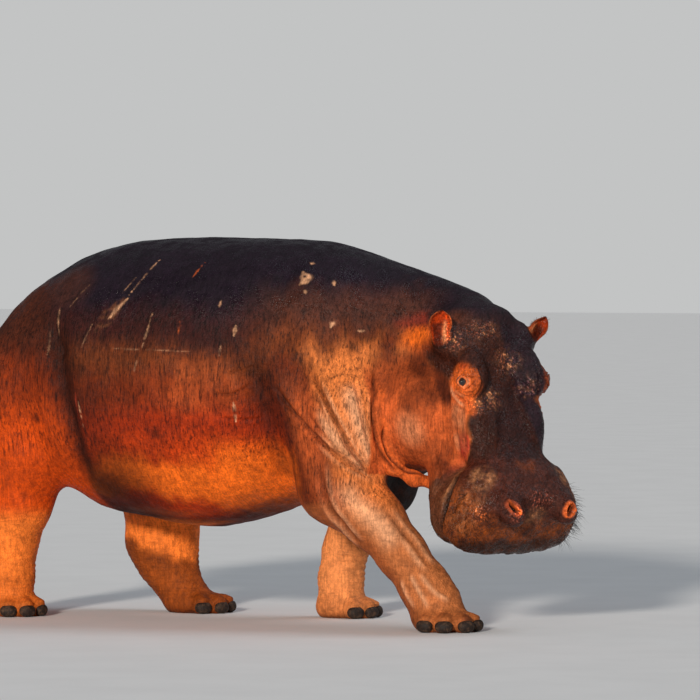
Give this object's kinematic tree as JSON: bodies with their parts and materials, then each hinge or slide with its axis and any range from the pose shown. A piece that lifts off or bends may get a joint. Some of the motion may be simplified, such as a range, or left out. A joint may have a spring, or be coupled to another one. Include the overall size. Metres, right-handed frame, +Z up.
{
  "type": "hippopotamus",
  "caption": "Life-size still hippopotamus in mid stride, barrel body on short legs, heavy head lowered and turned to its right.",
  "frame": {"origin": "bottom centre of the whole animal's bounding box, on the ground plane under the soles", "axes": "+X forward along the body, +Y to the animal's left, +Z up"},
  "size_m": [2.6935, 1.0915, 1.4732],
  "materials": {
    "skin": "damp, satin",
    "dark_skin": "wet, semi-gloss",
    "ear_skin": "satin",
    "eye": "wet gloss",
    "nail": "worn satin horn"
  },
  "bodies": {
    "root": {"head": "dark_skin", "lower_jaw": "dark_skin", "neck": "skin", "trunk": "skin", "tail": "skin", "ear_right": "ear_skin", "ear_left": "ear_skin", "eye_right": "eye", "eye_left": "eye", "foreleg_right_upper": "skin", "foreleg_right_lower": "skin", "foreleg_right_foot": "skin", "foreleg_left_upper": "skin", "foreleg_left_lower": "skin", "foreleg_left_foot": "skin", "hindleg_right_upper": "skin", "hindleg_right_lower": "skin", "hindleg_right_foot": "skin", "hindleg_left_upper": "skin", "hindleg_left_lower": "skin", "hindleg_left_foot": "skin", "forenail_right_1": "nail", "forenail_right_2": "nail", "forenail_right_3": "nail", "forenail_right_4": "nail", "forenail_left_1": "nail", "forenail_left_2": "nail", "forenail_left_3": "nail", "forenail_left_4": "nail", "hindnail_right_1": "nail", "hindnail_right_2": "nail", "hindnail_right_3": "nail", "hindnail_right_4": "nail", "hindnail_left_1": "nail", "hindnail_left_2": "nail", "hindnail_left_3": "nail", "hindnail_left_4": "nail"}
  },
  "joints": []
}
